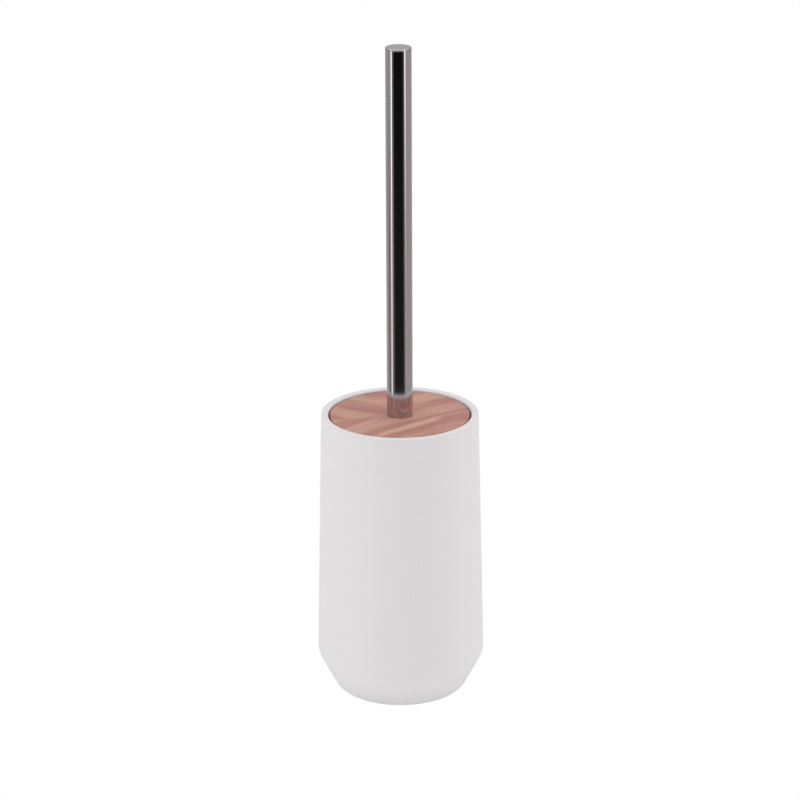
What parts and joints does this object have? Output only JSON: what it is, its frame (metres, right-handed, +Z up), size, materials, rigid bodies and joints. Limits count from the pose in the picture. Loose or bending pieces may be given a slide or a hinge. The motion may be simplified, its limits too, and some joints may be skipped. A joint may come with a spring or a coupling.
{
  "type": "toilet brush holder",
  "caption": "Round matte white toilet brush holder with a removable liner, and a brush with a wooden lid and a steel handle.",
  "frame": {"origin": "centre of the footprint, on the surface that the holder stands on", "axes": "+Z up along the handle's axis; X and Y along the two pairs of opposite feet"},
  "size_m": [0.0984, 0.0984, 0.3904],
  "materials": {
    "shell": "very matte white, fine even texture",
    "liner": "plain moulded white plastic",
    "handle": "mirror polished",
    "hardware": "plain turned steel",
    "lid": "pinkish brown wood, satin, open grain",
    "rubber": "dark matte rubber",
    "core": "moulded white plastic",
    "bristles": "white nylon bristles"
  },
  "bodies": {
    "holder": {"holder_shell": "shell", "foot_pad_1": "rubber", "foot_pad_2": "rubber", "foot_pad_3": "rubber", "foot_pad_4": "rubber"},
    "liner": {"drip_liner": "liner"},
    "brush": {"handle_tube": "handle", "handle_cap": "handle", "handle_plug": "hardware", "lid": "lid"},
    "washer": {"seal_washer": "rubber"},
    "head": {"threaded_stud": "hardware", "brush_core": "core", "bristle_row_1": "bristles", "bristle_row_2": "bristles", "bristle_row_3": "bristles", "bristle_row_4": "bristles", "bristle_row_5": "bristles", "bristle_row_6": "bristles", "bristle_row_7": "bristles", "bristle_row_8": "bristles", "bristle_tip": "bristles"}
  },
  "joints": [
    {"name": "liner_lift", "type": "slide", "parent": "holder", "child": "liner", "axis": [0, 0, 1], "range_m": [0, 0.17]},
    {"name": "brush_lift", "type": "slide", "parent": "liner", "child": "brush", "axis": [0, 0, 1], "range_m": [0, 0.18]},
    {"name": "thread_travel", "type": "slide", "parent": "brush", "child": "washer", "axis": [0, 0, -1], "range_m": [0, 0.0088]},
    {"name": "head_unscrew", "type": "hinge", "parent": "washer", "child": "head", "pos_m": [0, 0, 0.17], "axis": [0, 0, -1], "range_deg": [0, 2520]}
  ],
  "couplings": [
    {"joint": "thread_travel", "follows": "head_unscrew", "m_per_rad": 0.00019894}
  ]
}
